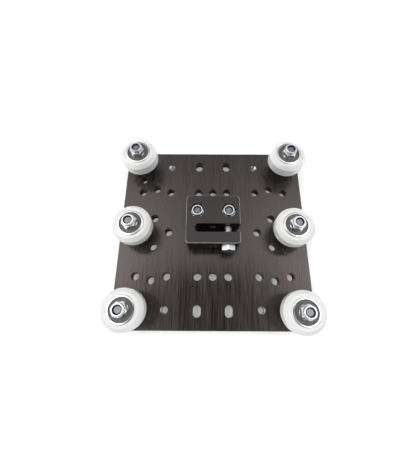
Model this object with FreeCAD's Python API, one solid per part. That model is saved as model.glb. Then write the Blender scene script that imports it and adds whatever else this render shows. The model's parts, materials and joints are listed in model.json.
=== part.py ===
import FreeCAD, Part
import math
import os

# A gantry plate on six V wheels with an anti-backlash nut block, in millimetres.
# z = 0 is the plate's underside and the wheels stand above it. The plate travels along Y.
# The left wheels (-X) have fixed axles, and the right wheels (+X) sit on eccentric spacers.
V = FreeCAD.Vector
up = V(0, 0, 1)
along = V(0, 1, 0)

# Plate
plate_width = 125.0
plate_length = 125.0
plate_thickness = 6.0
plate_corner = 5.0
plate_edge = 0.15
clearance_hole = 5.1

# Places of the plate's holes
row_y = 30.0
row_x = (0.0, 10.0, 30.0, 50.0)
outer_pair_x = 40.0
outer_pair_y = 32.5
inner_pair_y = 10.0
waist_hole_x = 30.0
single_hole = (-50.0, 40.0)
slot_x = 10.0
slot_margin = 11.2
slot_y = plate_length / 2 - slot_margin
slot_length = 7.4
tapped_x = 30.0
tapped_margin = 12.0
tapped_y = plate_length / 2 - tapped_margin
tapped_core = 4.2
tapped_mouth = 5.0

# Wheels: their axles' places, and how the set screws the wheel tight or loose
axle_margin = 12.0
axle_x = plate_width / 2 - axle_margin
axle_y = plate_length / 2 - axle_margin
places = {"front": -axle_y, "middle": 0.0, "rear": axle_y}
eccentricity = 0.79

# Screws and nuts of thread size 5
thread = 5.0
thread_ease = 0.02
head_diameter = 9.2
head_height = 1.5
head_edge = 0.3
socket_flats = 3.0
socket_depth = 1.2
axle_screw_length = 28.0
block_screw_length = 20.0
tip_chamfer = 0.4
nut_flats = 8.0
nut_hex_height = 3.2
nut_height = 5.0
nut_collar = 7.4
nut_lip_bore = 5.5
nut_lip_height = 0.3
nut_web = 0.2
insert_diameter = 6.4
corner_angle = math.radians(30)

# How far each lock nut's flats are turned, in degrees: left and right axles, then the block
nut_turns = {"front": (50.0, 30.0), "middle": (20.0, 45.0), "rear": (4.0, 3.0)}
pocket_turn = 0.0

# Spacers and shims of an axle
spacer_diameter = 10.0
spacer_length = 6.0
spacer_edge = 0.3
shim_thickness = 1.0
eccentric_flats = 10.0
boss_diameter = 7.1
boss_length = 2.5
boss_ease = 0.05

# Ball bearings
bearing_bore = thread + 2 * thread_ease
bearing_diameter = 16.0
bearing_width = 5.0
ball_pitch = (bearing_diameter + thread) / 2
bearing_section = (bearing_diameter - thread) / 2
ball_diameter = 0.5555 * bearing_width
ball_count = 8
race_ease = 0.05
inner_shoulder = ball_pitch - 0.3 * bearing_section
inner_step = ball_pitch - 0.345 * bearing_section
outer_shoulder = ball_pitch + 0.345 * bearing_section
outer_step = ball_pitch + 0.6 * bearing_section
seal_recess = 0.2
seal_thickness = 0.55
seal_ease = 0.1
seal_dish = 0.18
seal_floor = bearing_width / 2 - seal_recess - seal_thickness
cage_inner = ball_pitch - 0.236 * bearing_section
cage_outer = ball_pitch + 0.236 * bearing_section
cage_ease = 0.07
cage_base = seal_floor - cage_ease
cage_top = 0.36 * ball_diameter
pocket_ease = 0.07
race_edge = 0.25

# V wheel
wheel_diameter = 24.2
wheel_width = 10.23
wheel_band = 5.9
wheel_lip = 1.5
wheel_lip_bore = bearing_diameter - 2 * wheel_lip
wheel_edge = 0.25

# Nut block
block_width = 34.0
block_front = -12.0
block_back = 20.0
block_thickness = 12.0
block_corner = 2.2
block_edge = 0.45
block_spacer_length = 3.0
block_screw_x = 10.0
block_screw_y = 10.0
pocket_flats = 8.3
flexure_front = -4.6
flexure_back = 0.8
flexure_web = 5.6
flexure_end_x = flexure_web - block_width / 2
lead_screw_core = 6.2
lead_screw_mouth = 8.4
adjuster_margin = 7.5
adjuster_x = block_width / 2 - adjuster_margin
adjuster_head = 3.5
adjuster_turn = 30.0
adjuster_gap = 0.05
adjuster_bore_ease = 0.06
adjuster_mouth = 5.8

# Heights that follow from the sizes above
spacer_top = plate_thickness + spacer_length
lower_bearing = spacer_top + shim_thickness
middle_shim = lower_bearing + bearing_width
upper_bearing = middle_shim + shim_thickness
wheel_middle = (middle_shim + upper_bearing) / 2
nut_seat = upper_bearing + bearing_width
block_base = plate_thickness + block_spacer_length
block_top = block_base + block_thickness
lead_screw_z = (block_base + block_top) / 2
bearing_middles = (lower_bearing + bearing_width / 2, upper_bearing + bearing_width / 2)

shank_radius = thread / 2
bolt_bore = thread / 2 + thread_ease


def rod(radius, low, high, x=0.0, y=0.0):
    return Part.makeCylinder(radius, high - low, V(x, y, low), up)


def tube(bore, radius, low, high, x=0.0, y=0.0):
    return rod(radius, low, high, x, y).cut(rod(bore, low, high, x, y))


def hexagon(flats, low, high, x=0.0, y=0.0, turn=0.0):
    corner = flats / math.sqrt(3)
    angles = [math.radians(turn + 60 * step) for step in range(7)]
    points = [V(x + corner * math.cos(a), y + corner * math.sin(a), low) for a in angles]
    return Part.Face(Part.makePolygon(points)).extrude(V(0, 0, high - low))


def turned(outline, x=0.0, y=0.0, z=0.0):
    # A closed outline of (radius, height) points, turned about an upright axis
    points = [V(radius, 0, height) for radius, height in outline]
    solid = Part.Face(Part.makePolygon(points + points[:1])).revolve(V(0, 0, 0), up, 360)
    solid.translate(V(x, y, z))
    return solid


def mirrored_outline(upper_half):
    # Adds the lower half of an outline whose upper half runs from its inside to its outside
    return upper_half + [(radius, -height) for radius, height in reversed(upper_half)]


def rounded_block(x_low, x_high, y_low, y_high, low, high, corner, edge):
    # An upright block with rounded corners and a small chamfer around its top and bottom
    solid = Part.makeBox(x_high - x_low, y_high - y_low, high - low, V(x_low, y_low, low))
    upright = [e for e in solid.Edges if e.BoundBox.ZLength > (high - low) / 2]
    solid = solid.makeFillet(corner, upright)
    rims = [e for e in solid.Edges if e.BoundBox.ZLength < 1e-6]
    return solid.makeChamfer(edge, rims)


def clearance_holes():
    # Each hole is mirrored into the four quarters of the plate, and a repeated place counts once
    quarter = [(x, row_y) for x in row_x]
    quarter += [(outer_pair_x, outer_pair_y), (outer_pair_x, inner_pair_y), (waist_hole_x, 0.0)]
    spots = {(sx * x + 0.0, sy * y + 0.0) for x, y in quarter for sx in (1, -1) for sy in (1, -1)}
    spots |= {single_hole, (block_screw_x, block_screw_y), (-block_screw_x, block_screw_y)}
    spots |= {(-axle_x, y) for y in places.values()}
    return [rod(clearance_hole / 2, 0, plate_thickness, x, y) for x, y in sorted(spots)]


def slots():
    radius = clearance_hole / 2
    reach = slot_length / 2 - radius
    cuts = []
    for x in (-slot_x, slot_x):
        for y in (-slot_y, slot_y):
            corner = V(x - radius, y - reach, 0)
            middle = Part.makeBox(2 * radius, 2 * reach, plate_thickness, corner)
            ends = [rod(radius, 0, plate_thickness, x, y + side * reach) for side in (-1, 1)]
            cuts.append(middle.fuse(ends).removeSplitter())
    return cuts


def tapped_holes():
    core, mouth = tapped_core / 2, tapped_mouth / 2
    depth = mouth - core
    outline = [(0, 0), (mouth, 0), (core, depth), (core, plate_thickness - depth)]
    outline += [(mouth, plate_thickness), (0, plate_thickness)]
    return [turned(outline, x, y) for x in (-tapped_x, tapped_x) for y in (-tapped_y, tapped_y)]


def gantry_plate():
    half_width, half_length = plate_width / 2, plate_length / 2
    plate = rounded_block(-half_width, half_width, -half_length, half_length,
                          0, plate_thickness, plate_corner, plate_edge)
    boss_bore = boss_diameter / 2 + boss_ease
    cuts = clearance_holes() + slots() + tapped_holes()
    cuts += [rod(boss_bore, 0, plate_thickness, axle_x, y) for y in places.values()]
    return plate.cut(cuts)


def cap_screw(length, x, y):
    # A low-head screw from under the plate, its head below z = 0 and its tip at z = length
    head, tip = head_diameter / 2, shank_radius - tip_chamfer
    outline = [(0, -head_height), (head - head_edge, -head_height), (head, head_edge - head_height)]
    outline += [(head, 0), (shank_radius, 0), (shank_radius, length - tip_chamfer), (tip, length), (0, length)]
    socket = hexagon(socket_flats, -head_height, socket_depth - head_height, x, y)
    return turned(outline, x, y).cut(socket)


def chamfered_hexagon(flats, low, high, x, y, turn):
    # A hexagon whose corners are turned down at both ends, as on a nut
    flat, corner = flats / 2, flats / math.sqrt(3)
    drop = (corner - flat) * math.tan(corner_angle)
    outline = [(0, low), (flat, low), (corner, low + drop), (corner, high - drop), (flat, high), (0, high)]
    return hexagon(flats, low, high, x, y, turn).common(turned(outline, x, y))


def lock_nut(x, y, seat, turn):
    collar, lip, pocket = nut_collar / 2, nut_lip_bore / 2, insert_diameter / 2
    shoulder = nut_height - nut_lip_height
    body = chamfered_hexagon(nut_flats, 0, nut_hex_height, 0, 0, turn)
    rim = [(0, nut_hex_height), (collar, nut_hex_height), (collar, shoulder - nut_web)]
    rim += [(collar - nut_web, nut_height - nut_web / 2), (collar - 2 * nut_web, nut_height), (0, nut_height)]
    floor = nut_hex_height + nut_web
    bore = [(0, 0), (bolt_bore + tip_chamfer, 0), (bolt_bore, tip_chamfer), (bolt_bore, floor)]
    bore += [(pocket, floor), (pocket, shoulder), (lip, shoulder), (lip, nut_height), (0, nut_height)]
    nut = body.fuse(turned(rim)).cut(turned(bore)).removeSplitter()
    nut.translate(V(x, y, seat))
    return nut


def nut_insert(x, y, seat):
    low = seat + nut_hex_height + nut_web
    high = seat + nut_height - nut_lip_height
    return tube(bolt_bore, insert_diameter / 2, low, high, x, y)


def fixed_spacer(x, y):
    radius = spacer_diameter / 2
    low, high = plate_thickness, spacer_top
    outline = [(clearance_hole / 2, low), (radius - spacer_edge, low), (radius, low + spacer_edge)]
    outline += [(radius, high - spacer_edge), (radius - spacer_edge, high), (clearance_hole / 2, high)]
    return turned(outline, x, y)


def eccentric_spacer(y):
    # The boss turns in the plate, and its bore is off centre towards the front
    boss = rod(boss_diameter / 2, plate_thickness - boss_length, plate_thickness, axle_x, y)
    grip = chamfered_hexagon(eccentric_flats, plate_thickness, spacer_top, axle_x, y, 0)
    bore = rod(bolt_bore, plate_thickness - boss_length, spacer_top, axle_x, y - eccentricity)
    return boss.fuse(grip).cut(bore).removeSplitter()


def axle_shims(x, y):
    outer = spacer_diameter / 2
    return [tube(bolt_bore, outer, low, low + shim_thickness, x, y) for low in (spacer_top, middle_shim)]


def race_groove(x, y, z):
    return Part.makeTorus(ball_pitch / 2, ball_diameter / 2 + race_ease, V(x, y, z), up)


def inner_ring(x, y, z):
    bore, step, shoulder = bearing_bore / 2, inner_step / 2, inner_shoulder / 2
    half = bearing_width / 2
    upper_half = [(bore, half - race_edge), (bore + race_edge, half), (step, half)]
    upper_half += [(step, seal_floor), (shoulder, seal_floor)]
    return turned(mirrored_outline(upper_half), x, y, z).cut(race_groove(x, y, z))


def outer_ring(x, y, z):
    shoulder, step, outside = outer_shoulder / 2, outer_step / 2, bearing_diameter / 2
    half = bearing_width / 2
    upper_half = [(shoulder, seal_floor), (step, seal_floor), (step, half)]
    upper_half += [(outside - race_edge, half), (outside, half - race_edge)]
    return turned(mirrored_outline(upper_half), x, y, z).cut(race_groove(x, y, z))


def seals(x, y, z):
    # A dished ring on each face of a bearing, seated in the outer ring and just clear of the inner ring
    inside, outside = inner_step / 2 + seal_ease, outer_step / 2
    low, high = seal_floor, seal_floor + seal_thickness
    rim = 3 * seal_dish
    outline = [(inside, low), (outside, low), (outside, high), (outside - rim, high)]
    outline += [(outside - rim - seal_dish, high - seal_dish), (inside + rim, high - seal_dish), (inside, high)]
    top = turned(outline)
    bottom = top.mirror(V(0, 0, 0), up)
    pair = [top, bottom]
    for ring in pair:
        ring.translate(V(x, y, z))
    return pair


def balls(x, y, z):
    angles = [2 * math.pi * step / ball_count for step in range(ball_count)]
    reach = ball_pitch / 2
    return [Part.makeSphere(ball_diameter / 2, V(x + reach * math.cos(a), y + reach * math.sin(a), z))
            for a in angles]


def cage(x, y, z):
    # A crown cage: a ring with open pockets that the balls snap into
    ring = tube(cage_inner / 2, cage_outer / 2, z - cage_base, z + cage_top, x, y)
    radius = ball_diameter / 2 + pocket_ease
    angles = [2 * math.pi * step / ball_count for step in range(ball_count)]
    pockets = [Part.makeCylinder(radius, cage_outer, V(x, y, z), V(math.cos(a), math.sin(a), 0))
               for a in angles]
    return ring.cut(pockets)


def wheel(x, y):
    # Flat rim band between two 45 degree flanks, bored for two bearings with a lip between them
    rim, half_band, half = wheel_diameter / 2, wheel_band / 2, wheel_width / 2
    face = rim - (half - half_band)
    bore, lip, half_lip = bearing_diameter / 2, wheel_lip_bore / 2, shim_thickness / 2
    upper_half = [(lip, half_lip), (bore, half_lip), (bore, half - wheel_edge), (bore + wheel_edge, half)]
    upper_half += [(face - wheel_edge, half), (face, half - wheel_edge)]
    upper_half += [(rim - wheel_edge, half_band + wheel_edge), (rim, half_band - wheel_edge)]
    return turned(mirrored_outline(upper_half), x, y, wheel_middle)


def flat_rod(radius, x, front, back, z):
    # A round bar lying along Y
    return Part.makeCylinder(radius, back - front, V(x, front, z), along)


def flat_mouth(radius, mouth, x, y, z, outward):
    # The cone that opens a bore along Y at one of its ends
    depth = mouth - radius
    start = V(x, y - outward * depth, z)
    return Part.makeCone(radius, mouth, depth, start, V(0, outward, 0))


def nut_block():
    half = block_width / 2
    block = rounded_block(-half, half, block_front, block_back, block_base, block_top, block_corner, block_edge)
    radius = (flexure_back - flexure_front) / 2
    middle_y = (flexure_back + flexure_front) / 2
    run = V(flexure_end_x + radius, flexure_front, block_base)
    flexure = Part.makeBox(half - run.x, 2 * radius, block_thickness, run)
    flexure = flexure.fuse(rod(radius, block_base, block_top, run.x, middle_y)).removeSplitter()
    core, mouth = lead_screw_core / 2, lead_screw_mouth / 2
    lead = flat_rod(core, 0, block_front, block_back, lead_screw_z)
    lead_mouths = [flat_mouth(core, mouth, 0, block_front, lead_screw_z, -1),
                   flat_mouth(core, mouth, 0, block_back, lead_screw_z, 1)]
    bore = shank_radius + adjuster_bore_ease
    adjuster = flat_rod(bore, adjuster_x, block_front, flexure_front, lead_screw_z)
    adjuster_opening = flat_mouth(bore, adjuster_mouth / 2, adjuster_x, block_front, lead_screw_z, -1)
    cuts = [flexure, lead, adjuster, adjuster_opening] + lead_mouths
    for x in (-block_screw_x, block_screw_x):
        cuts.append(rod(clearance_hole / 2, block_base, block_top, x, block_screw_y))
        cuts.append(hexagon(pocket_flats, block_top - nut_height, block_top, x, block_screw_y, pocket_turn))
    return block.cut(cuts)


def block_spacer(x):
    return tube(clearance_hole / 2, spacer_diameter / 2, plate_thickness, block_base, x, block_screw_y)


def adjusting_screw():
    # Its head bears on the block's front, and its tip on the far wall of the slot
    reach = flexure_back - adjuster_gap - block_front
    corner = nut_flats / math.sqrt(3)
    drop = (corner - nut_flats / 2) * math.tan(corner_angle)
    head = hexagon(nut_flats, -adjuster_head, 0, turn=adjuster_turn)
    outline = [(0, -adjuster_head), (nut_flats / 2, -adjuster_head), (corner, drop - adjuster_head)]
    outline += [(corner, 0), (shank_radius, 0), (shank_radius, reach - tip_chamfer)]
    outline += [(shank_radius - tip_chamfer, reach), (0, reach)]
    screw = turned(outline).common(head.fuse(rod(shank_radius, 0, reach)))
    screw.rotate(V(0, 0, 0), V(1, 0, 0), -90)
    screw.translate(V(adjuster_x, block_front, lead_screw_z))
    return screw


def save(node, solids):
    shape = solids[0] if len(solids) == 1 else Part.makeCompound(solids)
    for solid in shape.Solids:
        if not solid.isValid():
            print("not valid:", node)
    print(f"{node}: {len(shape.Solids)} solids, {shape.Volume:.1f} mm3")
    shape.exportStep(f"parts/{node}.step")


def in_both(piece, x, y):
    # One piece, or a list of them, for each of an axle's two bearings
    return [piece(x, y, z) for z in bearing_middles]


def save_axle(name, x, y, turn):
    # The screw, nut, shims and inner rings that turn with an eccentric spacer
    save(f"axle_screw_{name}", [cap_screw(axle_screw_length, x, y)])
    save(f"shims_{name}", axle_shims(x, y))
    save(f"inner_rings_{name}", in_both(inner_ring, x, y))
    save(f"lock_nut_{name}", [lock_nut(x, y, nut_seat, turn)])
    save(f"nut_insert_{name}", [nut_insert(x, y, nut_seat)])


def save_wheel(name, x, y):
    save(f"wheel_{name}", [wheel(x, y)])
    save(f"outer_rings_{name}", in_both(outer_ring, x, y))
    save(f"seals_{name}", sum(in_both(seals, x, y), []))
    save(f"balls_{name}", sum(in_both(balls, x, y), []))
    save(f"cages_{name}", in_both(cage, x, y))


os.makedirs("parts", exist_ok=True)

save("gantry_plate", [gantry_plate()])
save("nut_block", [nut_block()])
block_screw_xs = (-block_screw_x, block_screw_x)
pocket_floor = block_top - nut_height
save("block_spacers", [block_spacer(x) for x in block_screw_xs])
save("block_screws", [cap_screw(block_screw_length, x, block_screw_y) for x in block_screw_xs])
save("adjusting_screw", [adjusting_screw()])

# The left axles are fixed, so their like pieces share a node
left = [(-axle_x, y) for y in places.values()]
left_turns = [turns[0] for turns in nut_turns.values()]
nuts = [lock_nut(x, y, nut_seat, turn) for (x, y), turn in zip(left, left_turns)]
nuts += [lock_nut(x, block_screw_y, pocket_floor, pocket_turn) for x in block_screw_xs]
inserts = [nut_insert(x, y, nut_seat) for x, y in left]
inserts += [nut_insert(x, block_screw_y, pocket_floor) for x in block_screw_xs]
save("fixed_lock_nuts", nuts)
save("fixed_nut_inserts", inserts)
save("fixed_axle_screws", [cap_screw(axle_screw_length, x, y) for x, y in left])
save("fixed_spacers", [fixed_spacer(x, y) for x, y in left])
save("fixed_shims", sum([axle_shims(x, y) for x, y in left], []))
save("fixed_inner_rings", sum([in_both(inner_ring, x, y) for x, y in left], []))

for place, y in places.items():
    save_wheel(f"left_{place}", -axle_x, y)
    save(f"eccentric_spacer_right_{place}", [eccentric_spacer(y)])
    save_axle(f"right_{place}", axle_x, y - eccentricity, nut_turns[place][1])
    save_wheel(f"right_{place}", axle_x, y - eccentricity)
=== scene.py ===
import json
import math

import bmesh
import bpy
from mathutils import Matrix, Vector


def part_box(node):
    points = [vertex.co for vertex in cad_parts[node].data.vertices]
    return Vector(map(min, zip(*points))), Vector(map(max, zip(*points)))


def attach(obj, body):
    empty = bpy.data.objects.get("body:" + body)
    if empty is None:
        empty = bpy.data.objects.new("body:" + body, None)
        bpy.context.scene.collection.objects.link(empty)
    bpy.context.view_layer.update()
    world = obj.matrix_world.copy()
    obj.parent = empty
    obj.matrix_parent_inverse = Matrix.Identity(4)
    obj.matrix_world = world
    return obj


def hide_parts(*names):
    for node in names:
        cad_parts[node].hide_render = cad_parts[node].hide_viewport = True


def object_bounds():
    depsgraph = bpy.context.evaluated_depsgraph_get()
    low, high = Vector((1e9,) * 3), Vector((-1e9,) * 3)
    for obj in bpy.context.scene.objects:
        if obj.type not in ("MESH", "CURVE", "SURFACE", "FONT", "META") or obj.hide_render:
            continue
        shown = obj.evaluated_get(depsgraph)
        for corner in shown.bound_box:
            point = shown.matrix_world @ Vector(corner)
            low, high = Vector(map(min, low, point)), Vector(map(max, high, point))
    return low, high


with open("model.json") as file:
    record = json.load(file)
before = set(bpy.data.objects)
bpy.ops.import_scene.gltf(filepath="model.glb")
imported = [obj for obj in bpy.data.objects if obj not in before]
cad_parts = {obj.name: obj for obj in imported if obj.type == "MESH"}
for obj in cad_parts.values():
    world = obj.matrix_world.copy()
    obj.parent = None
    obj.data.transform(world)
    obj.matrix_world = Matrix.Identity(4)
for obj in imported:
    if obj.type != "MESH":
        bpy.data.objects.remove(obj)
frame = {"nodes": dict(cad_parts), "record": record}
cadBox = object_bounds()
record = frame["record"]
mm = 0.001
weldDistance, tinyEdge = 0.0005 * mm, 0.0002 * mm
up = Vector((0, 0, 1))
bodyOf = {node: body for body, nodes in record["behaviour"]["bodies"].items() for node in nodes}
axleNames = [f"{side}_{place}" for side in ("left", "right") for place in ("front", "middle", "rear")]
leftNames, rightNames = axleNames[:3], axleNames[3:]


def middleOf(node):
    low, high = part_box(node)
    return (low + high) / 2


# SHAPES

def outlineVerts(bm, points):
    verts = [bm.verts.new((x * mm, 0, z * mm)) for x, z in points]
    edges = [bm.edges.new((a, b)) for a, b in zip(verts, verts[1:] + verts[:1])]
    return verts + edges


def turned(bm, points, steps=96):
    # A closed outline of (radius, height) points in millimetres, spun about the Z axis
    bmesh.ops.spin(bm, geom=outlineVerts(bm, points), cent=(0, 0, 0), axis=up, angle=math.tau,
                   steps=steps, use_merge=True)


def mirroredOutline(upperHalf):
    return upperHalf + [(r, -h) for r, h in reversed(upperHalf)]


def hexagonPrism(bm, flats, low, high, turn=0.0):
    # With no turn, two of its corners lie on the X axis
    spot = Matrix.Translation((0, 0, low * mm)) @ Matrix.Rotation(math.radians(turn + 90), 4, "Z")
    made = bmesh.ops.create_circle(bm, cap_ends=True, segments=6, radius=flats / math.sqrt(3) * mm, matrix=spot)
    face = made["verts"][0].link_faces[0]
    top = bmesh.ops.extrude_face_region(bm, geom=[face])
    verts = [g for g in top["geom"] if isinstance(g, bmesh.types.BMVert)]
    bmesh.ops.translate(bm, verts=verts, vec=(0, 0, (high - low) * mm))


def threadRidge(bm, root, crest, pitch, low, high, steps=36):
    # A closed ridge that climbs the wall of a screw, or of a hole when crest is the smaller radius
    turns, flat = (high - low) / pitch - 1, 0.1
    outline = [(root, low), (crest, low + (1 - flat) / 2 * pitch), (crest, low + (1 + flat) / 2 * pitch),
               (root, low + pitch)]
    made = outlineVerts(bm, outline)
    before = set(bm.edges)
    bmesh.ops.spin(bm, geom=made, cent=(0, 0, 0), axis=up, angle=turns * math.tau, steps=int(turns * steps),
                   dvec=(0, 0, turns * pitch * mm / int(turns * steps)), use_merge=False)
    new = [e for e in bm.edges if e.is_boundary and (e not in before or e in made)]
    bmesh.ops.holes_fill(bm, edges=new, sides=4)


def cleaned(bm):
    bmesh.ops.remove_doubles(bm, verts=bm.verts, dist=weldDistance)
    bmesh.ops.dissolve_degenerate(bm, edges=bm.edges, dist=tinyEdge)
    bmesh.ops.recalc_face_normals(bm, faces=bm.faces)


def meshFrom(build, *values):
    bm = bmesh.new()
    build(bm, *values)
    cleaned(bm)
    mesh = bpy.data.meshes.new("shape")
    bm.to_mesh(mesh)
    bm.free()
    return mesh


def combined(base, tool, operation):
    # Both meshes are closed: the result is cut from, joined with or kept inside the tool
    objects = [bpy.data.objects.new("work", mesh) for mesh in (base, tool)]
    for thing in objects:
        bpy.context.scene.collection.objects.link(thing)
    step = objects[0].modifiers.new("cut", "BOOLEAN")
    step.solver = "EXACT"
    step.operation = operation
    step.object = objects[1]
    view = bpy.context.evaluated_depsgraph_get()
    result = bpy.data.meshes.new_from_object(objects[0].evaluated_get(view))
    for thing in objects:
        bpy.data.objects.remove(thing)
    return result


def added(bm, mesh, spot, turn=0.0, tilt=None):
    # A copy of a ready shape, turned about Z, tilted if asked, and set in its place
    where = Matrix.Translation(spot)
    if tilt:
        where = where @ Matrix.Rotation(tilt, 4, "X")
    where = where @ Matrix.Rotation(math.radians(turn), 4, "Z")
    before = len(bm.verts)
    bm.from_mesh(mesh)
    bm.verts.ensure_lookup_table()
    bmesh.ops.transform(bm, matrix=where, verts=bm.verts[before:])


def makePiece(name, node, paints, copies, edge=0.0, sharp=32, segments=2):
    # copies holds (mesh, place, turn, tilt) for each solid of the node
    bm = bmesh.new()
    for copy in copies:
        added(bm, *copy)
    mesh = bpy.data.meshes.new(name)
    bm.to_mesh(mesh)
    bm.free()
    piece = bpy.data.objects.new(name, mesh)
    bpy.context.scene.collection.objects.link(piece)
    for paint in paints:
        mesh.materials.append(paint)
    mesh.shade_smooth()
    mesh.set_sharp_from_angle(angle=math.radians(sharp))
    if edge:
        soften = piece.modifiers.new("edges", "BEVEL")
        soften.width = edge * mm
        soften.segments = segments
        soften.limit_method = "ANGLE"
        soften.angle_limit = math.radians(sharp)
        soften.harden_normals = True
    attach(piece, bodyOf[node])
    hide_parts(node)
    return piece


# MATERIALS

# Each noise has its scale, detail and roughness, and the grain lies between two of its values
fineNoise, broadNoise = (1.0, 3.0, 0.65), (0.13, 2.0, 0.5)
grainLow, grainHigh = 0.36, 0.64


def newGroup(name, inputs, outputs):
    tree = bpy.data.node_groups.new(name, "ShaderNodeTree")
    for label, kind, value in inputs:
        socket = tree.interface.new_socket(name=label, in_out="INPUT", socket_type=kind)
        socket.default_value = value
    for label in outputs:
        tree.interface.new_socket(name=label, in_out="OUTPUT", socket_type="NodeSocketFloat")
    return tree


def noise(tree, vector, scale, detail, rough):
    node = tree.nodes.new("ShaderNodeTexNoise")
    node.inputs["Scale"].default_value = scale
    node.inputs["Detail"].default_value = detail
    node.inputs["Roughness"].default_value = rough
    tree.links.new(vector, node.inputs["Vector"])
    return node.outputs["Fac"]


def makeGrainGroup():
    # Noise drawn out by Stretch: lines where one direction is stretched less than the others
    tree = newGroup("surfaceGrain", [("Stretch", "NodeSocketVector", (1000, 1000, 1000))], ["Fine", "Broad"])
    source = tree.nodes.new("NodeGroupInput")
    place = tree.nodes.new("ShaderNodeTexCoord")
    scaled = tree.nodes.new("ShaderNodeVectorMath")
    scaled.operation = "MULTIPLY"
    tree.links.new(place.outputs["Object"], scaled.inputs[0])
    tree.links.new(source.outputs["Stretch"], scaled.inputs[1])
    sink = tree.nodes.new("NodeGroupOutput")
    tree.links.new(noise(tree, scaled.outputs[0], *fineNoise), sink.inputs["Fine"])
    tree.links.new(noise(tree, scaled.outputs[0], *broadNoise), sink.inputs["Broad"])
    return tree


grainGroup = makeGrainGroup()


def newMaterial(name):
    paint = bpy.data.materials.new(name)
    paint.use_nodes = True
    return paint, paint.node_tree, paint.node_tree.nodes["Principled BSDF"]


def grainIn(tree, stretch):
    node = tree.nodes.new("ShaderNodeGroup")
    node.node_tree = grainGroup
    node.inputs["Stretch"].default_value = stretch
    return node


def blendColours(tree, factor, dark, light):
    ramp = tree.nodes.new("ShaderNodeValToRGB")
    for stop, spot, colour in zip(ramp.color_ramp.elements, (grainLow, grainHigh), (dark, light)):
        stop.position = spot
        stop.color = (*colour, 1)
    tree.links.new(factor, ramp.inputs["Fac"])
    return ramp.outputs["Color"]


def spread(tree, factor, low, high):
    node = tree.nodes.new("ShaderNodeMapRange")
    node.inputs["From Min"].default_value = grainLow
    node.inputs["From Max"].default_value = grainHigh
    node.inputs["To Min"].default_value = low
    node.inputs["To Max"].default_value = high
    tree.links.new(factor, node.inputs["Value"])
    return node.outputs["Result"]


def bump(tree, height, depth, strength):
    node = tree.nodes.new("ShaderNodeBump")
    node.inputs["Distance"].default_value = depth * mm
    node.inputs["Strength"].default_value = strength
    tree.links.new(height, node.inputs["Height"])
    return node.outputs["Normal"]


def mathNode(tree, operation, *values):
    node = tree.nodes.new("ShaderNodeMath")
    node.operation = operation
    for socket, value in zip(node.inputs, values):
        if isinstance(value, bpy.types.NodeSocket):
            tree.links.new(value, socket)
        else:
            socket.default_value = value
    return node.outputs[0]


def grainedMaterial(name, look):
    paint, tree, shader = newMaterial(name)
    grain, share = grainIn(tree, look["stretch"]), look["broadShare"]
    tone = mathNode(tree, "MULTIPLY_ADD", grain.outputs["Broad"], share,
                    mathNode(tree, "MULTIPLY", grain.outputs["Fine"], 1 - share))
    tree.links.new(blendColours(tree, tone, look["dark"], look["light"]), shader.inputs["Base Color"])
    tree.links.new(spread(tree, tone, *look["roughness"]), shader.inputs["Roughness"])
    tree.links.new(bump(tree, grain.outputs["Fine"], look["bumpDepth"], look["bump"]), shader.inputs["Normal"])
    shader.inputs["Metallic"].default_value = look["metallic"]
    shader.inputs["IOR"].default_value = look.get("ior", 1.5)
    shader.inputs["Transmission Weight"].default_value = look.get("transmission", 0.0)
    shader.inputs["Specular Tint"].default_value = (*look.get("tint", (1.0, 1.0, 1.0)), 1)
    if "anisotropic" in look:
        # Highlights are drawn out across the brushing, which runs along Y
        lay = tree.nodes.new("ShaderNodeCombineXYZ")
        lay.inputs["X"].default_value = 1.0
        tree.links.new(lay.outputs[0], shader.inputs["Tangent"])
        shader.inputs["Anisotropic"].default_value = look["anisotropic"]
    return paint


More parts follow.
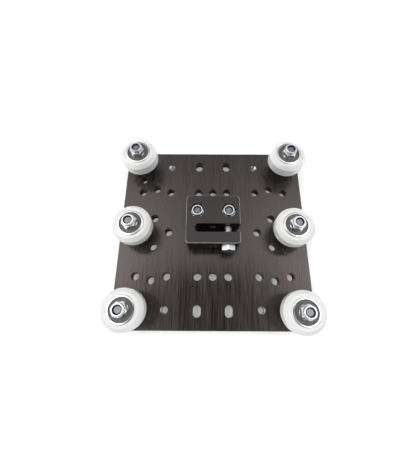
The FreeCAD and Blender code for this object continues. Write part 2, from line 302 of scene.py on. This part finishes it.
looks = {
    "anodisedPlate": {"stretch": (1700, 45, 1700), "broadShare": 0.2, "dark": (0.01, 0.0082, 0.0076),
                      "light": (0.026, 0.0213, 0.0197), "roughness": (0.12, 0.27), "metallic": 0.0,
                      "bump": 0.5, "bumpDepth": 0.1, "ior": 1.5, "tint": (1.0, 0.88, 0.86), "anisotropic": 0.5},
    "anodisedBlock": {"stretch": (5200, 5200, 5200), "broadShare": 0.3, "dark": (0.002, 0.0018, 0.0018),
                      "light": (0.006, 0.0055, 0.0055), "roughness": (0.28, 0.38), "metallic": 0.0,
                      "bump": 0.3, "bumpDepth": 0.01, "ior": 1.49, "tint": (1.0, 0.9, 0.88)},
    # A lighter copy of the block's anodising for its chamfered rims: a painted edge highlight
    "paintedEdgeHighlight": {"stretch": (4000, 4000, 4000), "broadShare": 0.3, "dark": (0.12, 0.116, 0.114),
                     "light": (0.2, 0.194, 0.19), "roughness": (0.22, 0.3), "metallic": 0.0,
                     "bump": 0.1, "bumpDepth": 0.01, "ior": 1.8},
    "brightSteel": {"stretch": (2600, 2600, 9000), "broadShare": 0.4, "dark": (0.42, 0.42, 0.42),
                    "light": (0.60, 0.60, 0.59), "roughness": (0.24, 0.38), "metallic": 1.0,
                    "bump": 0.12, "bumpDepth": 0.01},
    "bearingSteel": {"stretch": (2200, 2200, 9000), "broadShare": 0.5, "dark": (0.50, 0.50, 0.50),
                     "light": (0.66, 0.66, 0.65), "roughness": (0.12, 0.22), "metallic": 1.0,
                     "bump": 0.06, "bumpDepth": 0.01},
    "zincSteel": {"stretch": (1500, 1500, 1500), "broadShare": 0.5, "dark": (0.42, 0.44, 0.46),
                  "light": (0.66, 0.67, 0.68), "roughness": (0.26, 0.42), "metallic": 1.0,
                  "bump": 0.15, "bumpDepth": 0.02},
    "blackSteel": {"stretch": (2000, 2000, 2000), "broadShare": 0.4, "dark": (0.09, 0.092, 0.098),
                   "light": (0.19, 0.195, 0.205), "roughness": (0.26, 0.4), "metallic": 0.8,
                   "bump": 0.1, "bumpDepth": 0.01},
    "cutAluminium": {"stretch": (3000, 3000, 3000), "broadShare": 0.3, "dark": (0.4, 0.405, 0.4),
                     "light": (0.6, 0.605, 0.6), "roughness": (0.2, 0.34), "metallic": 1.0,
                     "bump": 0.1, "bumpDepth": 0.01},
    "spacerAluminium": {"stretch": (900, 900, 9000), "broadShare": 0.3, "dark": (0.46, 0.46, 0.46),
                        "light": (0.62, 0.62, 0.62), "roughness": (0.28, 0.42), "metallic": 1.0,
                        "bump": 0.25, "bumpDepth": 0.01},
    "sealRubber": {"stretch": (2500, 2500, 2500), "broadShare": 0.5, "dark": (0.03, 0.027, 0.024),
                   "light": (0.085, 0.076, 0.07), "roughness": (0.36, 0.52), "metallic": 0.0,
                   "bump": 0.1, "bumpDepth": 0.01, "ior": 1.55},
    "blueNylon": {"stretch": (1500, 1500, 1500), "broadShare": 0.5, "dark": (0.012, 0.028, 0.085),
                  "light": (0.03, 0.06, 0.15), "roughness": (0.38, 0.5), "metallic": 0.0,
                  "bump": 0.1, "bumpDepth": 0.01},
    "cageNylon": {"stretch": (1500, 1500, 1500), "broadShare": 0.5, "dark": (0.62, 0.58, 0.46),
                  "light": (0.74, 0.70, 0.58), "roughness": (0.4, 0.5), "metallic": 0.0,
                  "bump": 0.1, "bumpDepth": 0.01},
    "clearPolycarbonate": {"stretch": (300, 300, 300), "broadShare": 0.6, "dark": (0.9, 0.91, 0.9),
                           "light": (0.95, 0.955, 0.945), "roughness": (0.28, 0.36), "metallic": 0.0,
                           "bump": 0.01, "bumpDepth": 0.01, "ior": 1.585, "transmission": 0.48},
}
paints = {name: grainedMaterial(name, look) for name, look in looks.items()}
print("materials ready")


# PLATE

plateLook = {"corner": 5.0, "rim": 0.15, "holeRim": 0.18, "boss": 7.2, "holeSteps": 48, "cornerSteps": 10,
             "tappedMouth": 5.3, "tappedPitch": 0.8, "threadRoot": 2.45, "threadCrest": 2.06,
             "threadEnds": (0.25, 5.75), "threadSink": 0.03}


def loopStack(bm, levels):
    # Bridges closed edge loops, given from the bottom to the top, and returns the first and the last
    for lower, upper in zip(levels, levels[1:]):
        bmesh.ops.bridge_loops(bm, edges=lower + upper)
    return levels[0], levels[-1]


def circleLoop(bm, x, y, z, radius, reach=0.0):
    # A circle, or with a reach the outline of a slot that is as much longer each way along Y
    made = bmesh.ops.create_circle(bm, segments=plateLook["holeSteps"], radius=radius * mm,
                                   matrix=Matrix.Translation((x, y, z)))["verts"]
    for vert in made:
        if abs(vert.co.y - y) > 1e-7:
            vert.co.y += math.copysign(reach * mm, vert.co.y - y)
    return list({edge for vert in made for edge in vert.link_edges})


def rectangleLoop(bm, low, high, z, inset, corner):
    verts = [bm.verts.new((x, y, z)) for x, y in
             ((low.x + inset, low.y + inset), (high.x - inset, low.y + inset),
              (high.x - inset, high.y - inset), (low.x + inset, high.y - inset))]
    face = bm.faces.new(verts)
    bmesh.ops.bevel(bm, geom=verts, offset=corner, offset_type="OFFSET", segments=plateLook["cornerSteps"],
                    profile=0.5, affect="VERTICES", material=-1)
    face = [f for f in bm.faces if all(abs(v.co.z - z) < 1e-9 for v in f.verts) and len(f.verts) > 8][-1]
    edges = list(face.edges)
    bm.faces.remove(face)
    return edges


def holePlaces():
    # The bolt patterns of the record give each hole's place, radius and slot length
    spots = []
    for mount in record["mounts"]:
        size = mount["dims"]
        if mount["kind"] == "bolt_pattern":
            reachX, reachY = size.get("spacing_x_mm", 0) / 2 * mm, size.get("spacing_y_mm", 0) / 2 * mm
            signsX, signsY = ((-1, 1) if reachX else (0,)), ((-1, 1) if reachY else (0,))
            centre = mount["pos_m"]
            for sx in signsX:
                for sy in signsY:
                    spots.append((centre[0] + sx * reachX, centre[1] + sy * reachY, size["hole_r_mm"],
                                  size.get("slot_length_mm", 0), "tapped" in mount["name"]))
        elif mount["name"] == "single_hole":
            spots.append((mount["pos_m"][0], mount["pos_m"][1], size["r_mm"], 0, False))
    radius = spots[0][2]
    for name in leftNames:
        spots.append((*middleOf(f"wheel_{name}").xy, radius, 0, False))
    for name in rightNames:
        spots.append((*middleOf(f"eccentric_spacer_{name}").xy, plateLook["boss"] / 2, 0, False))
    low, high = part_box("block_spacers")
    across = (high.y - low.y) / 2
    for x in (low.x + across, high.x - across):
        spots.append((x, low.y + across, radius, 0, False))
    return spots


def plateShape(bm):
    low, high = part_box("gantry_plate")
    rim, corner = plateLook["rim"] * mm, plateLook["corner"] * mm
    heights = [(low.z, rim), (low.z + rim, 0), (high.z - rim, 0), (high.z, rim)]
    loops = [rectangleLoop(bm, low, high, z, inset, corner - inset) for z, inset in heights]
    first, last = loopStack(bm, loops)
    bottom, top = list(first), list(last)
    for x, y, radius, slotLength, tapped in holePlaces():
        radius = plateLook["threadRoot"] if tapped else radius
        mouth = plateLook["tappedMouth"] / 2 - radius if tapped else plateLook["holeRim"]
        reach = max(slotLength / 2 - radius, 0)
        steps = [(low.z, mouth), (low.z + mouth * mm, 0), (high.z - mouth * mm, 0), (high.z, mouth)]
        first, last = loopStack(bm, [circleLoop(bm, x, y, z, radius + wide, reach) for z, wide in steps])
        bottom += first
        top += last
    for edges in (bottom, top):
        bmesh.ops.triangle_fill(bm, use_beauty=True, edges=edges)


plateMesh = meshFrom(plateShape)
tappedRidge = meshFrom(threadRidge, plateLook["threadRoot"] + plateLook["threadSink"], plateLook["threadCrest"],
                       plateLook["tappedPitch"], *plateLook["threadEnds"])
for face in tappedRidge.polygons:
    face.material_index = 1
plateCopies = [(plateMesh, (0, 0, 0))]
plateCopies += [(tappedRidge, (x, y, 0)) for x, y, radius, length, tapped in holePlaces() if tapped]
makePiece("gantryPlate", "gantry_plate", [paints["anodisedPlate"], paints["cutAluminium"]],
          plateCopies)
print("plate ready")


# BEARINGS

bearing = {"bore": 5.04, "outside": 16.0, "width": 5.0, "edge": 0.25, "innerStep": 8.6, "innerShoulder": 8.85,
           "outerShoulder": 12.4, "outerStep": 13.8, "recess": 0.2, "sealThickness": 0.55, "sealEase": 0.14,
           "sealDish": 0.18}


def innerRingShape(bm):
    half, edge = bearing["width"] / 2, bearing["edge"]
    bore, step, shoulder = bearing["bore"] / 2, bearing["innerStep"] / 2, bearing["innerShoulder"] / 2
    floor = half - bearing["recess"] - bearing["sealThickness"]
    turned(bm, mirroredOutline([(bore, half - edge), (bore + edge, half), (step - edge / 3, half),
                                (step, half - edge / 3), (step, floor), (shoulder, floor)]))


def outerRingShape(bm):
    half, edge = bearing["width"] / 2, bearing["edge"]
    shoulder, step, outside = bearing["outerShoulder"] / 2, bearing["outerStep"] / 2, bearing["outside"] / 2
    floor = half - bearing["recess"] - bearing["sealThickness"]
    turned(bm, mirroredOutline([(shoulder, floor), (step, floor), (step, half - edge / 3),
                                (step + edge / 3, half), (outside - edge, half),
                                (outside - edge / 3, half - edge / 3), (outside, half - edge)]))


def sealShape(bm):
    half, dish = bearing["width"] / 2, bearing["sealDish"]
    inside, outside = bearing["innerStep"] / 2 + bearing["sealEase"], bearing["outerStep"] / 2
    high = half - bearing["recess"]
    low = high - bearing["sealThickness"]
    rim = 3 * dish
    turned(bm, [(inside, low), (outside, low), (outside, high - dish), (outside - dish, high),
                (outside - rim, high), (outside - rim - dish, high - dish), (inside + rim, high - dish),
                (inside + dish, high), (inside, high)])


innerRingMesh = meshFrom(innerRingShape)
outerRingMesh = meshFrom(outerRingShape)
sealMesh = meshFrom(sealShape)


def bearingMiddles(name):
    # The two bearings of a wheel meet its box above and below
    low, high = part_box(f"outer_rings_{name}")
    reach = bearing["width"] / 2 * mm
    middle = (low + high) / 2
    return [Vector((middle.x, middle.y, low.z + reach)), Vector((middle.x, middle.y, high.z - reach))]


# WHEELS

wheelLook = {"band": 5.9, "bore": 16.0, "lip": 13.0, "lipWidth": 1.0, "edge": 0.28, "steps": 144}


def wheelShape(bm, diameter, width):
    rim, half, halfBand = diameter / 2, width / 2, wheelLook["band"] / 2
    face = rim - (half - halfBand)
    lip, bore, halfLip = wheelLook["lip"] / 2, wheelLook["bore"] / 2, wheelLook["lipWidth"] / 2
    turned(bm, mirroredOutline([(lip, halfLip), (bore, halfLip), (bore, half), (face, half), (rim, halfBand)]),
           wheelLook["steps"])


wheelLow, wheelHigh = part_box("wheel_left_front")
wheelSize = (wheelHigh - wheelLow) / mm
wheelMesh = meshFrom(wheelShape, wheelSize.x, wheelSize.z)

for name in axleNames:
    centres = bearingMiddles(name)
    makePiece(f"wheel_{name}_clear", f"wheel_{name}", [paints["clearPolycarbonate"]],
              [(wheelMesh, middleOf(f"wheel_{name}"))], edge=wheelLook["edge"], segments=3)
    makePiece(f"outerRings_{name}", f"outer_rings_{name}", [paints["bearingSteel"]],
              [(outerRingMesh, c) for c in centres])
    sealCopies = [(sealMesh, c, 0, tilt) for c in centres for tilt in (None, math.pi)]
    makePiece(f"seals_{name}_dished", f"seals_{name}", [paints["sealRubber"]], sealCopies)
    for node, paint in ((f"balls_{name}", "bearingSteel"), (f"cages_{name}", "cageNylon")):
        frame["nodes"][node].data.materials.clear()
        frame["nodes"][node].data.materials.append(paints[paint])
print("wheels ready")


# NUTS, SCREWS, SPACERS

nutLook = {"flats": 8.0, "hexHeight": 3.2, "height": 5.0, "collar": 7.4, "lipBore": 5.5, "lip": 0.3,
           "insert": 6.4, "bore": 5.04, "web": 0.2, "mouth": 0.4,
           "collarRound": ((0, -0.35), (0.07, -0.1), (0.22, 0.1), (0.45, 0.3)),
           "turns": {"left_front": 50, "left_middle": 20, "left_rear": 4,
                     "right_front": 30, "right_middle": 45, "right_rear": 3}, "pocketTurn": 0}
screwLook = {"head": 9.2, "headHeight": 1.5, "headEdge": 0.3, "socket": 3.0, "socketDepth": 1.2,
             "shank": 4.96, "core": 4.2, "pitch": 0.8, "tip": 0.4, "threadLength": 2.6, "threadSink": 0.02,
             "axle": 28.0, "block": 20.0}
shimLook = {"outside": 10.0, "bore": 5.04, "thickness": 1.0, "edge": 0.12}
spacerLook = {"outside": 10.0, "bore": 5.1, "edge": 0.3, "flats": 10.0, "boss": 7.1, "bossLength": 2.5,
              "offCentre": 0.79}
cornerAngle = math.radians(30)


def turnedHexagon(flats, low, high, turn=0.0):
    # A hexagon with its corners turned down at both ends
    flat, corner = flats / 2, flats / math.sqrt(3)
    drop = (corner - flat) * math.tan(cornerAngle)
    outline = [(0, low), (flat, low), (corner, low + drop), (corner, high - drop), (flat, high), (0, high)]
    return combined(meshFrom(hexagonPrism, flats, low, high, turn), meshFrom(turned, outline), "INTERSECT")


def nutShape():
    look = nutLook
    collar, shoulder = look["collar"] / 2, look["height"] - look["lip"]
    rim = [(0, look["hexHeight"] - 0.1), (collar, look["hexHeight"] - 0.1)]
    rim += [(collar - inward, shoulder + rise) for inward, rise in look["collarRound"]] + [(0, look["height"])]
    floor = look["hexHeight"] + look["web"]
    bore, lip, pocket = look["bore"] / 2, look["lipBore"] / 2, look["insert"] / 2
    hole = [(0, -0.1), (bore + look["mouth"] + 0.1, -0.1), (bore, look["mouth"]), (bore, floor),
            (pocket, floor), (pocket, shoulder), (lip, shoulder), (lip, look["height"] + 0.1), (0, look["height"] + 0.1)]
    body = combined(turnedHexagon(look["flats"], 0, look["hexHeight"]), meshFrom(turned, rim), "UNION")
    return combined(body, meshFrom(turned, hole), "DIFFERENCE")


def insertShape(bm):
    look = nutLook
    low, high = look["hexHeight"] + look["web"], look["height"] - look["lip"]
    turned(bm, [(look["bore"] / 2, low), (look["insert"] / 2, low), (look["insert"] / 2, high),
                (look["bore"] / 2 + 0.1, high), (look["bore"] / 2, high - 0.1)])


def screwShape(length):
    look = screwLook
    head, shank, core, tip = look["head"] / 2, look["shank"] / 2, look["core"] / 2, look["tip"]
    start = length - look["threadLength"]
    outline = [(0, -look["headHeight"]), (head - look["headEdge"], -look["headHeight"]),
               (head - look["headEdge"] / 3, look["headEdge"] / 3 - look["headHeight"]),
               (head, look["headEdge"] - look["headHeight"]), (head, -0.1), (head - 0.1, 0), (shank, 0),
               (shank, start), (core, start + tip), (core, length - tip / 2), (core - tip / 2, length),
               (0, length)]
    socket = meshFrom(hexagonPrism, look["socket"], -look["headHeight"] - 0.5,
                      look["socketDepth"] - look["headHeight"])
    solid = combined(meshFrom(turned, outline), socket, "DIFFERENCE")
    ridge = meshFrom(threadRidge, core - look["threadSink"], shank, look["pitch"], start, length - 0.05)
    return [solid, ridge]


def tubeShape(bm, bore, outside, height, edge):
    inner, outer = bore / 2, outside / 2
    turned(bm, [(inner, edge), (inner + edge, 0), (outer - edge, 0), (outer, edge), (outer, height - edge),
                (outer - edge, height), (inner + edge, height), (inner, height - edge)])


def eccentricShape():
    look = spacerLook
    height = (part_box("fixed_spacers")[1].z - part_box("gantry_plate")[1].z) / mm
    radius, foot = look["boss"] / 2, -look["bossLength"]
    boss = [(0, foot), (radius, foot), (radius, 0.1), (0, 0.1)]
    solid = combined(turnedHexagon(look["flats"], 0, height), meshFrom(turned, boss), "UNION")
    bore, low, high = shimLook["bore"] / 2, foot - 1, height + 1
    hole = meshFrom(turned, [(0, low), (bore, low), (bore, high), (0, high)])
    hole.transform(Matrix.Translation((0, -look["offCentre"] * mm, 0)))
    return combined(solid, hole, "DIFFERENCE")


nutMesh = nutShape()
insertMesh = meshFrom(insertShape)
shimMesh = meshFrom(tubeShape, shimLook["bore"], shimLook["outside"], shimLook["thickness"], shimLook["edge"])
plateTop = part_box("gantry_plate")[1].z
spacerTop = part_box("fixed_spacers")[1].z
spacerMesh = meshFrom(tubeShape, spacerLook["bore"], spacerLook["outside"], (spacerTop - plateTop) / mm,
                      spacerLook["edge"])
blockGap = (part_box("nut_block")[0].z - plateTop) / mm
blockSpacerMesh = meshFrom(tubeShape, spacerLook["bore"], spacerLook["outside"], blockGap, spacerLook["edge"])
axleScrewMeshes = screwShape(screwLook["axle"])
blockScrewMeshes = screwShape(screwLook["block"])
eccentricMesh = eccentricShape()
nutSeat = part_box("fixed_lock_nuts")[1].z - nutLook["height"] * mm
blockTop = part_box("nut_block")[1].z
pocketFloor = blockTop - nutLook["height"] * mm

blockLow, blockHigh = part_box("block_screws")
blockRadius = (blockHigh.y - blockLow.y) / 2
blockSpots = [(x, blockLow.y + blockRadius) for x in (blockLow.x + blockRadius, blockHigh.x - blockRadius)]
leftSpots = {name: middleOf(f"wheel_{name}").xy for name in leftNames}


def shimPlaces(x, y):
    lower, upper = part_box("fixed_shims")[0].z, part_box("fixed_shims")[1].z - shimLook["thickness"] * mm
    return [(shimMesh, (x, y, lower)), (shimMesh, (x, y, upper))]


nutCopies = [(nutMesh, (*leftSpots[n], nutSeat), nutLook["turns"][n]) for n in leftNames]
nutCopies += [(nutMesh, (*spot, pocketFloor), nutLook["pocketTurn"]) for spot in blockSpots]
makePiece("lockNuts", "fixed_lock_nuts", [paints["zincSteel"]], nutCopies, edge=0.08)
insertCopies = [(insertMesh, (*leftSpots[n], nutSeat)) for n in leftNames]
insertCopies += [(insertMesh, (*spot, pocketFloor)) for spot in blockSpots]
makePiece("nutInserts", "fixed_nut_inserts", [paints["blueNylon"]], insertCopies)
makePiece("axleScrews", "fixed_axle_screws", [paints["blackSteel"]],
          [(mesh, (*leftSpots[n], 0)) for n in leftNames for mesh in axleScrewMeshes])
makePiece("blockScrews", "block_screws", [paints["blackSteel"]],
          [(mesh, (*spot, 0)) for spot in blockSpots for mesh in blockScrewMeshes])
makePiece("spacers", "fixed_spacers", [paints["spacerAluminium"]],
          [(spacerMesh, (*leftSpots[n], plateTop)) for n in leftNames])
makePiece("blockSpacers", "block_spacers", [paints["spacerAluminium"]],
          [(blockSpacerMesh, (*spot, plateTop)) for spot in blockSpots])
makePiece("shims", "fixed_shims", [paints["brightSteel"]],
          [copy for n in leftNames for copy in shimPlaces(*leftSpots[n])])
makePiece("innerRings", "fixed_inner_rings", [paints["bearingSteel"]],
          [(innerRingMesh, c) for n in leftNames for c in bearingMiddles(n)])

for name in rightNames:
    spot = middleOf(f"wheel_{name}").xy
    makePiece(f"lockNut_{name}", f"lock_nut_{name}", [paints["zincSteel"]],
              [(nutMesh, (*spot, nutSeat), nutLook["turns"][name])], edge=0.08)
    makePiece(f"nutInsert_{name}", f"nut_insert_{name}", [paints["blueNylon"]],
              [(insertMesh, (*spot, nutSeat))])
    makePiece(f"axleScrew_{name}", f"axle_screw_{name}", [paints["blackSteel"]],
              [(mesh, (*spot, 0)) for mesh in axleScrewMeshes])
    makePiece(f"shims_{name}_flat", f"shims_{name}", [paints["brightSteel"]], shimPlaces(*spot))
    makePiece(f"innerRings_{name}", f"inner_rings_{name}", [paints["bearingSteel"]],
              [(innerRingMesh, c) for c in bearingMiddles(name)])
    boss = middleOf(f"eccentric_spacer_{name}")
    makePiece(f"eccentricSpacer_{name}", f"eccentric_spacer_{name}", [paints["brightSteel"]],
              [(eccentricMesh, (boss.x, boss.y, plateTop))], edge=0.08)
print("axles ready")


# NUT BLOCK

blockLook = {"corner": 2.2, "rim": 0.45, "slotFront": -4.6, "slotBack": 0.8, "slotEnd": -11.4, "pocket": 8.3,
             "core": 6.2, "mouth": 8.4, "screwHole": 5.1, "screwDepth": 14, "adjusterHole": 5.08,
             "adjusterMouth": 5.8, "adjusterDepth": 9, "innerEdge": 0.12}
# The lead screw's thread, with its gaps to the bore's mouths and to the slot
leadThread = {"pitch": 2.0, "depth": 0.35, "sink": 0.02, "mouthGap": 1.2, "slotGap": 0.1}


def blockBody(bm):
    low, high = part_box("nut_block")
    size, middle = high - low, (low + high) / 2
    bmesh.ops.create_cube(bm, size=1, matrix=Matrix.Translation(middle) @ Matrix.Diagonal((*size, 1)))
    upright = [e for e in bm.edges if abs(e.verts[0].co.z - e.verts[1].co.z) > size.z / 2]
    bmesh.ops.bevel(bm, geom=upright, offset=blockLook["corner"] * mm, offset_type="OFFSET", segments=8,
                    profile=0.5, affect="EDGES", material=-1)
    flat = [e for e in bm.edges if abs(e.verts[0].co.z - e.verts[1].co.z) < 1e-8
            and len({round(f.normal.z) for f in e.link_faces}) == 2]
    # The rim chamfers get material 1, the painted edge highlight
    bmesh.ops.bevel(bm, geom=flat, offset=blockLook["rim"] * mm, offset_type="OFFSET", segments=1,
                    profile=0.5, affect="EDGES", material=1)


def slotCutter(bm):
    low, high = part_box("nut_block")
    radius = (blockLook["slotBack"] - blockLook["slotFront"]) / 2 * mm
    y = (blockLook["slotBack"] + blockLook["slotFront"]) / 2 * mm
    x = blockLook["slotEnd"] * mm + radius
    spot = Matrix.Translation((x, y, low.z - mm))
    made = bmesh.ops.create_circle(bm, cap_ends=True, segments=64, radius=radius, matrix=spot)["verts"]
    for vert in made:
        if vert.co.x > x + 1e-7:
            vert.co.x = high.x + mm
            vert.co.y = y + math.copysign(radius, vert.co.y - y)
    bmesh.ops.remove_doubles(bm, verts=bm.verts, dist=1e-7)
    top = bmesh.ops.extrude_face_region(bm, geom=list(bm.faces))
    verts = [g for g in top["geom"] if isinstance(g, bmesh.types.BMVert)]
    bmesh.ops.translate(bm, verts=verts, vec=(0, 0, high.z - low.z + 2 * mm))


def alongY(mesh, x, y, z):
    # Lays an upright shape down so that its top points to +Y
    mesh.transform(Matrix.Translation((x, y, z)) @ Matrix.Rotation(-math.pi / 2, 4, "X"))
    return mesh


def blockMesh():
    low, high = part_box("nut_block")
    length, leadZ = (high.y - low.y) / mm, (low.z + high.z) / 2
    core, mouth = blockLook["core"] / 2, blockLook["mouth"] / 2
    flare = mouth - core
    lead = [(0, -1), (mouth + 1, -1), (core, flare), (core, length - flare), (mouth + 1, length + 1),
            (0, length + 1)]
    hole, holeMouth = blockLook["adjusterHole"] / 2, blockLook["adjusterMouth"] / 2
    depth = blockLook["adjusterDepth"]
    adjuster = [(0, -1), (holeMouth + 1, -1), (hole, holeMouth - hole), (hole, depth), (0, depth)]
    adjusterX = middleOf("adjusting_screw").x
    radius, depth = blockLook["screwHole"] / 2, blockLook["screwDepth"]
    screw = [(0, -1), (radius, -1), (radius, depth), (0, depth)]
    tools = [meshFrom(slotCutter), alongY(meshFrom(turned, lead), 0, low.y, leadZ),
             alongY(meshFrom(turned, adjuster), adjusterX, low.y, leadZ)]
    for x, y in blockSpots:
        hole = meshFrom(turned, screw)
        hole.transform(Matrix.Translation((x, y, low.z)))
        pocket = meshFrom(hexagonPrism, blockLook["pocket"], 0, nutLook["height"] + 1, nutLook["pocketTurn"])
        pocket.transform(Matrix.Translation((x, y, pocketFloor)))
        tools += [hole, pocket]
    body = meshFrom(blockBody)
    for tool in tools:
        body = combined(body, tool, "DIFFERENCE")
    for face in body.polygons:
        # The chamfered rims take the lighter second material, a painted highlight along the block's edges
        onRim = min(high.z - face.center.z, face.center.z - low.z) < blockLook["rim"] * mm
        face.material_index = int(onRim and 0.3 < abs(face.normal.z) < 0.95)
    return body


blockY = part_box("nut_block")[0].y
leadMiddle = (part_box("nut_block")[0].z + blockTop) / 2
leadRadii = (blockLook["core"] / 2 + leadThread["sink"], blockLook["core"] / 2 - leadThread["depth"])
frontRidge = meshFrom(threadRidge, *leadRadii, leadThread["pitch"], leadThread["mouthGap"],
                      blockLook["slotFront"] - blockY / mm - leadThread["slotGap"])
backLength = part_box("nut_block")[1].y / mm - blockLook["slotBack"]
backRidge = meshFrom(threadRidge, *leadRadii, leadThread["pitch"], leadThread["slotGap"],
                     backLength - leadThread["mouthGap"])
alongY(frontRidge, 0, blockY, leadMiddle)
alongY(backRidge, 0, blockLook["slotBack"] * mm, leadMiddle)
# The block's second material paints a highlight on its chamfered rims
makePiece("nutBlock", "nut_block", [paints["anodisedBlock"], paints["paintedEdgeHighlight"]],
          [(mesh, (0, 0, 0)) for mesh in (blockMesh(), frontRidge, backRidge)],
          edge=blockLook["innerEdge"], segments=1)

adjusterLook = {"flats": 8.0, "head": 3.5, "turn": 30}


def adjusterMeshes():
    low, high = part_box("adjusting_screw")
    reach = (high.y - low.y) / mm - adjusterLook["head"]
    shank, core, tip = screwLook["shank"] / 2, screwLook["core"] / 2, screwLook["tip"]
    flat = adjusterLook["flats"] / 2
    head = turnedHexagon(adjusterLook["flats"], -adjusterLook["head"], 0, adjusterLook["turn"])
    outline = [(0, -0.5), (core, -0.5), (core, reach - tip), (core - tip, reach), (0, reach)]
    ridge = meshFrom(threadRidge, core - screwLook["threadSink"], shank, screwLook["pitch"], 0.1, reach - tip)
    x, z = middleOf("adjusting_screw").x, leadMiddle
    solid = combined(head, meshFrom(turned, outline), "UNION")
    return [alongY(mesh, x, low.y + adjusterLook["head"] * mm, z) for mesh in (solid, ridge)]


makePiece("adjustingScrew", "adjusting_screw", [paints["zincSteel"]],
          [(mesh, (0, 0, 0)) for mesh in adjusterMeshes()], edge=0.06)
print("nut block ready")


# FLOOR, LIGHT, CAMERA

studio = {"floorSize": 6.0, "floorColour": (0.93, 0.93, 0.93), "floorGlow": 0.26}
# How bright the sky is at each height (0 at the horizon, 1 overhead) towards each side
sky = {"heights": (0.0, 0.45, 0.75, 0.9, 0.97, 0.993, 1.0), "overhead": 0.0,
       "right": (1.6, 1.2, 2.4, 5.6, 0.0, 0.0), "left": (1.7, 1.6, 3.2, 6.7, 0.0, 0.0),
       "back": (1.2, 0.1, 0.5, 1.0, 2.4, 0.0), "front": (0.15, 0.1, 0.05, 0.05, 0.0, 0.6)}
view = {"place": (-2.78, -50.10, 155.40), "elevation": 72.867, "azimuth": 0.554, "roll": -0.239,
        "focalPixels": 232.0, "longSide": 476.0, "sensor": 36.0}


def makeFloor():
    bm = bmesh.new()
    half = studio["floorSize"] / 2
    bmesh.ops.create_grid(bm, x_segments=1, y_segments=1, size=half)
    mesh = bpy.data.meshes.new("floor")
    bm.to_mesh(mesh)
    bm.free()
    mesh.transform(Matrix.Translation((0, 0, cadBox[0].z)))
    floor = bpy.data.objects.new("floor", mesh)
    bpy.context.scene.collection.objects.link(floor)
    paint, tree, shader = newMaterial("floorPaper")
    shader.inputs["Base Color"].default_value = (*studio["floorColour"], 1)
    shader.inputs["Roughness"].default_value = 0.9
    glow = tree.nodes.new("ShaderNodeEmission")
    path = tree.nodes.new("ShaderNodeLightPath")
    share = mathNode(tree, "MULTIPLY", path.outputs["Is Camera Ray"], studio["floorGlow"])
    mix = tree.nodes.new("ShaderNodeMixShader")
    tree.links.new(share, mix.inputs[0])
    tree.links.new(shader.outputs[0], mix.inputs[1])
    tree.links.new(glow.outputs[0], mix.inputs[2])
    tree.links.new(mix.outputs[0], tree.nodes["Material Output"].inputs["Surface"])
    mesh.materials.append(paint)


def makeSky():
    # Each side's share of a direction is the square of its level part, so the shares add up to 1
    world = bpy.data.worlds.new("studio")
    bpy.context.scene.world = world
    world.use_nodes = True
    tree = world.node_tree
    background = tree.nodes["Background"]
    background.inputs["Color"].default_value = (1, 1, 1, 1)
    place = tree.nodes.new("ShaderNodeTexCoord")
    split = tree.nodes.new("ShaderNodeSeparateXYZ")
    tree.links.new(place.outputs["Generated"], split.inputs[0])
    height = split.outputs["Z"]
    level = mathNode(tree, "SUBTRACT", 1.0001, mathNode(tree, "MULTIPLY", height, height))
    total = 0.0
    for side, axis, sign in (("right", "X", 1), ("left", "X", -1), ("back", "Y", 1), ("front", "Y", -1)):
        along = mathNode(tree, "MAXIMUM", mathNode(tree, "MULTIPLY", split.outputs[axis], sign), 0.0)
        share = mathNode(tree, "DIVIDE", mathNode(tree, "MULTIPLY", along, along), level)
        ramp = tree.nodes.new("ShaderNodeValToRGB")
        stops = ramp.color_ramp.elements
        while len(stops) < len(sky["heights"]):
            stops.new(0.5)
        for stop, spot, value in zip(stops, sky["heights"], (*sky[side], sky["overhead"])):
            stop.position = spot
            stop.color = (value, value, value, 1)
        tree.links.new(height, ramp.inputs["Fac"])
        total = mathNode(tree, "MULTIPLY_ADD", share, ramp.outputs["Color"], total)
    path = tree.nodes.new("ShaderNodeLightPath")
    seen = tree.nodes.new("ShaderNodeMix")
    seen.data_type = "FLOAT"
    tree.links.new(path.outputs["Is Camera Ray"], seen.inputs[0])
    tree.links.new(total, seen.inputs[2])
    seen.inputs[3].default_value = 1.0
    tree.links.new(seen.outputs[0], background.inputs["Strength"])


def makeCamera():
    lens = bpy.data.cameras.new("camera")
    lens.sensor_width = view["sensor"]
    lens.lens = view["sensor"] * view["focalPixels"] / view["longSide"]
    lens.clip_start = 0.01
    lens.clip_end = 20
    camera = bpy.data.objects.new("camera", lens)
    bpy.context.scene.collection.objects.link(camera)
    turn = (Matrix.Rotation(math.radians(view["azimuth"]), 4, "Z")
            @ Matrix.Rotation(math.radians(90 - view["elevation"]), 4, "X")
            @ Matrix.Rotation(math.radians(view["roll"]), 4, "Z"))
    camera.matrix_world = Matrix.Translation(Vector(view["place"]) * mm) @ turn
    bpy.context.scene.camera = camera


makeFloor()
makeSky()
makeCamera()
bpy.context.scene.view_settings.view_transform = "Standard"
print("studio ready")
